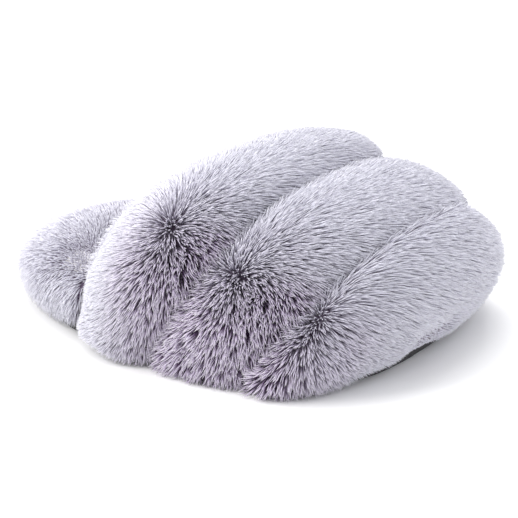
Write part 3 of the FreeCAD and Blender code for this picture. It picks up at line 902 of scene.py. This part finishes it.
lining_points = cavity_grid(90, 150)
lining = grid_piece("hood_lining_plush", lining_points)
relaxed(lining.data, 2)
nest_middle = np.array([0.0, 0.0, 0.03])
if np.mean(np.sum(normals(lining.data) * (nest_middle - positions(lining.data)), axis=1)) < 0:
    lining.data.flip_normals()
bulge = ease(gap_to(quilt_tree, positions(lining.data)), 0.004, 0.045)
bulge *= ease(gap_to(surface_tree(*cad("mouth_binding")), positions(lining.data)), 0.002, 0.05)
place(lining.data, positions(lining.data) + normals(lining.data) * (0.0003 + 0.0027 * bulge)[:, None])
shell = lining.modifiers.new("cloth", "SOLIDIFY")
shell.thickness = 0.0022
shell.offset = -1.0
apply_modifiers(lining)
short_backing = pile_backing("short_plush_ground", (0.30, 0.26, 0.34), (0.52, 0.48, 0.57), 500.0)
smooth(lining.data)
lining.data.materials.append(short_backing)
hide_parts("hood_lining")
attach(lining, "bed")

short_hair = pile_hair(
    "short_pile",
    ((0.0, 0.20, 0.17, 0.23), (0.35, 0.50, 0.47, 0.56), (0.7, 0.76, 0.74, 0.82), (1.0, 0.88, 0.87, 0.93)),
    ((0.0, 0.10, 0.07, 0.12), (0.35, 0.36, 0.31, 0.41), (0.7, 0.70, 0.66, 0.76), (1.0, 0.86, 0.84, 0.90)),
)
SHORT_PILE = LONG_PILE | {
    "Density": 80000.0,
    "Length": 0.009,
    "Hair_radius": 0.0011,
    "Tufts": 30000.0,
    "Stray": 0.25,
    "Segments": 2,
    "Material": short_hair,
}


def lay_pile(mesh, thick, length, lean):
    """Short pile that is brushed one way."""
    set_point_attribute(mesh, "pile", thick)
    set_point_attribute(mesh, "pile_length", length)
    set_point_attribute(mesh, "pile_upright_and_shade", np.full(len(thick), 0.3))
    set_point_attribute(mesh, "lean", along_skin(np.array([lean]), normals(mesh)))


points, out = positions(lining.data), normals(lining.data)
inner = np.sum(out * (np.array([0.0, 0.03, 0.03]) - points), axis=1) > 0
thick = inner * (1.0 - 0.5 * ease(points[:, 1], 0.02, 0.12))
lay_pile(lining.data, thick, np.full(len(points), 1.0), (0.0, -0.5, -0.4))
grow_pile("hood_lining_pile", lining.data, "bed", "short_plush", 1.0, Seed=21, **SHORT_PILE)

# ---------------------------------------------------------------- nest floor cloth
# The same short plush covers the floor of the nest, laid on the base pad and sewn in along the walls.
nest_floor = remeshed("nest_floor_plush", cad("floor_cloth"), voxel=0.0026)
relaxed(nest_floor.data, 3)
dips = np.array([noise.noise(Vector(point) * 18.0) for point in positions(nest_floor.data)])
on_top = ease(normals(nest_floor.data)[:, 2], 0.2, 0.8)
sunk = positions(nest_floor.data)
sunk[:, 2] -= on_top * (0.0003 + 0.0003 * dips)
place(nest_floor.data, sunk)
smooth(nest_floor.data)
nest_floor.data.materials.append(short_backing)
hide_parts("floor_cloth")
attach(nest_floor, "bed")
cushion_tree = surface_tree(*cad("cushion_top_cover", "cushion_bottom_cover"))
under_cushion = gap_to(cushion_tree, positions(nest_floor.data)) < 0.004
thick = ease(normals(nest_floor.data)[:, 2], 0.5, 0.8) * np.where(under_cushion, 0.35, 1.0)
lay_pile(nest_floor.data, thick, np.where(under_cushion, 0.25, 0.8), (0.2, -0.6, 0.0))
grow_pile("nest_floor_pile", nest_floor.data, "bed", "short_plush", 1.0, Seed=22, **SHORT_PILE)

# ---------------------------------------------------------------- loose cushion
# A flat stuffed cushion lies loose in the nest. Short plush covers its top, smooth lilac cloth covers
# its underside, and a corded piping runs round the seam between them.
seam_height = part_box("cushion_top_cover")[0].z
covers = ("cushion_top_cover", "cushion_bottom_cover")
cushion = remeshed("cushion_cover", cad(*covers, "cushion_filling"), voxel=0.0055)
relaxed(cushion.data, 2)
points, out = positions(cushion.data), normals(cushion.data)
free = ease(np.abs(points[:, 2] - seam_height), 0.004, 0.016) * ease(out[:, 2], -0.7, -0.1)
place(cushion.data, points - out * (0.0012 * free)[:, None])
blown_up(cushion, free, most=0.005, pressure=3.0)
relaxed(cushion.data, 2)
cushion_cloth = woven_cloth("lilac_cushion_cloth", (0.20, 0.17, 0.23), (0.44, 0.40, 0.49), 520.0, 0.8)
cushion.data.materials.append(short_backing)
cushion.data.materials.append(cushion_cloth)
for face in cushion.data.polygons:
    face.material_index = 0 if face.center.z > seam_height else 1
finish_skin(cushion, None, "cushion_plush", "cushion", 0.6, *covers)
height = positions(cushion.data)[:, 2]
lay_pile(cushion.data, ease(height, seam_height, seam_height + 0.004), np.ones(len(height)), (0.3, -0.7, 0.0))
denser = SHORT_PILE | {"Density": 110000.0}
grow_pile("cushion_pile", cushion.data, "cushion", "cushion_plush", 1.0, Seed=23, **denser)


def outline_points(bvh, centre, height, count):
    """Points round a surface at one height, seen from outside."""
    ring = []
    for step in range(count):
        turn = 2 * math.pi * step / count
        way = Vector((math.cos(turn), math.sin(turn), 0.0))
        hit = bvh.ray_cast(Vector((centre[0], centre[1], height)) + way, -way)[0]
        ring.append(hit)
    return np.array(ring)


def tube(name, ring, radius, sides=10):
    """A closed round cord through a ring of points."""
    ahead = np.roll(ring, -1, axis=0) - np.roll(ring, 1, axis=0)
    ahead /= np.linalg.norm(ahead, axis=1, keepdims=True)
    up = np.array([0.0, 0.0, 1.0])
    side = np.cross(ahead, up)
    side /= np.linalg.norm(side, axis=1, keepdims=True)
    turns = np.arange(sides) * 2 * math.pi / sides
    round_it = np.cos(turns)[None, :, None] * side[:, None] + np.sin(turns)[None, :, None] * up
    skin = ring[:, None] + radius * round_it
    corner = np.arange(len(ring) * sides).reshape(len(ring), sides)
    after, beside = np.roll(corner, -1, axis=0), np.roll(corner, -1, axis=1)
    faces = np.stack([corner, beside, np.roll(after, -1, axis=1), after], axis=-1)
    mesh = bpy.data.meshes.new(name)
    mesh.from_pydata(skin.reshape(-1, 3).tolist(), [], faces.reshape(-1, 4).tolist())
    work = bmesh.new()
    work.from_mesh(mesh)
    bmesh.ops.recalc_face_normals(work, faces=work.faces)
    work.to_mesh(mesh)
    work.free()
    smooth(mesh)
    piece = bpy.data.objects.new(name, mesh)
    scene.collection.objects.link(piece)
    return piece


middle = (0.0, 0.0225)
seam = outline_points(surface_tree(cushion.data), middle, seam_height, count=200)
piping = tube("cushion_piping", seam, radius=0.0021)
piping.data.materials.append(cushion_cloth)
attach(piping, "cushion")

# ---------------------------------------------------------------- care label
# A blank white satin label is folded once and caught in the base seam.


def satin(name, low, high):
    """Fine glossy ribs of thread across a ribbon."""
    material, tree, shader = new_material(name, Specular_IOR_Level=0.5)
    ribs = object_waves(tree, 900.0, "Y", 0.2)
    mixed = blended(tree, "ADD", blended(tree, "MULTIPLY", ribs, 0.4), object_noise(tree, 120.0))
    colour = colour_ramp(tree, mixed, (0.4, *low), (0.9, *high))
    feed(tree, shader, Base_Color=colour, Roughness=ranged(tree, ribs, 0.28, 0.45))
    raise_bumps(tree, shader, ribs, 0.0001)
    return material


dress("care_label", satin("white_satin", (0.72, 0.71, 0.70), (0.92, 0.91, 0.90)))

# ---------------------------------------------------------------- stitching on the base binding
# One row of dark lockstitch holds the binding tape to the base cloth all the way round.


def stitch_tree():
    """Short thread bars laid end to end along a closed line."""
    inputs = [(socket, "Float") for socket in ("Pitch", "Stitch length", "Thread radius")]
    tree, given, result = geometry_tree("stitches", inputs + [("Material", "Material")])
    line = make(tree, "GeometryNodeMeshToCurve", {"Mesh": given["Geometry"]}).outputs["Curve"]
    inputs = {"Curve": line, "Length": given["Pitch"]}
    line = make(tree, "GeometryNodeResampleCurve", inputs, mode="LENGTH").outputs["Curve"]
    inputs = {"Vertices": 6, "Side Segments": 3}
    inputs |= {"Radius": given["Thread radius"], "Depth": given["Stitch length"]}
    bar = make(tree, "GeometryNodeMeshCylinder", inputs, fill_type="NGON").outputs["Mesh"]
    spot = make(tree, "GeometryNodeInputPosition").outputs[0]
    up = make(tree, "ShaderNodeSeparateXYZ", {0: spot}).outputs["Z"]
    end = blended(tree, "DIVIDE", up, blended(tree, "MULTIPLY", given["Stitch length"], 0.5))
    narrower = blended(tree, "MULTIPLY", blended(tree, "MULTIPLY", end, end), 0.45)
    slim = blended(tree, "SUBTRACT", 1.0, narrower)
    thin = make(tree, "ShaderNodeCombineXYZ", {"X": slim, "Y": slim, "Z": 1.0}).outputs[0]
    inputs = {"Geometry": bar, "Position": vector_math(tree, "MULTIPLY", spot, thin)}
    bar = make(tree, "GeometryNodeSetPosition", inputs)
    ahead = make(tree, "GeometryNodeInputTangent").outputs[0]
    facing = make(tree, "FunctionNodeAlignRotationToVector", {"Vector": ahead}, axis="Z").outputs[0]
    inputs = {"Points": line, "Instance": bar.outputs[0], "Rotation": facing}
    copies = make(tree, "GeometryNodeInstanceOnPoints", inputs).outputs[0]
    whole = make(tree, "GeometryNodeRealizeInstances", {"Geometry": copies}).outputs[0]
    inputs = {"Geometry": whole, "Material": given["Material"]}
    whole = make(tree, "GeometryNodeSetMaterial", inputs).outputs[0]
    tree.links.new(whole, result["Geometry"])
    return tree


thread = woven_cloth("charcoal_thread", (0.02, 0.02, 0.022), (0.10, 0.095, 0.105), 2200.0, 0.6)
low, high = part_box("base_binding")
base_middle = (0.0, -0.009)
seam_height = low.z + 0.7 * (high.z - low.z)
row = outline_points(surface_tree(*cad("base_binding")), base_middle, seam_height, count=300)
out_from_middle = row - np.array([*base_middle, row[0][2]])
out_from_middle /= np.linalg.norm(out_from_middle, axis=1, keepdims=True)
row += 0.0001 * out_from_middle
line = bpy.data.meshes.new("stitch_line")
line.from_pydata(row.tolist(), [(index, (index + 1) % len(row)) for index in range(len(row))], [])
stitches = bpy.data.objects.new("base_stitching", line)
scene.collection.objects.link(stitches)
sewing = stitches.modifiers.new("sewing", "NODES")
sewing.node_group = stitch_tree()
STITCH = {"Pitch": 0.0046, "Stitch length": 0.0038, "Thread radius": 0.0003, "Material": thread}
named = input_names(sewing.node_group)
for key, value in STITCH.items():
    sewing[named[key]] = value
depsgraph = bpy.context.evaluated_depsgraph_get()
sewn = bpy.data.meshes.new_from_object(stitches.evaluated_get(depsgraph))
stitches.modifiers.clear()
stitches.data = sewn
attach(stitches, "bed")

low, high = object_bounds()
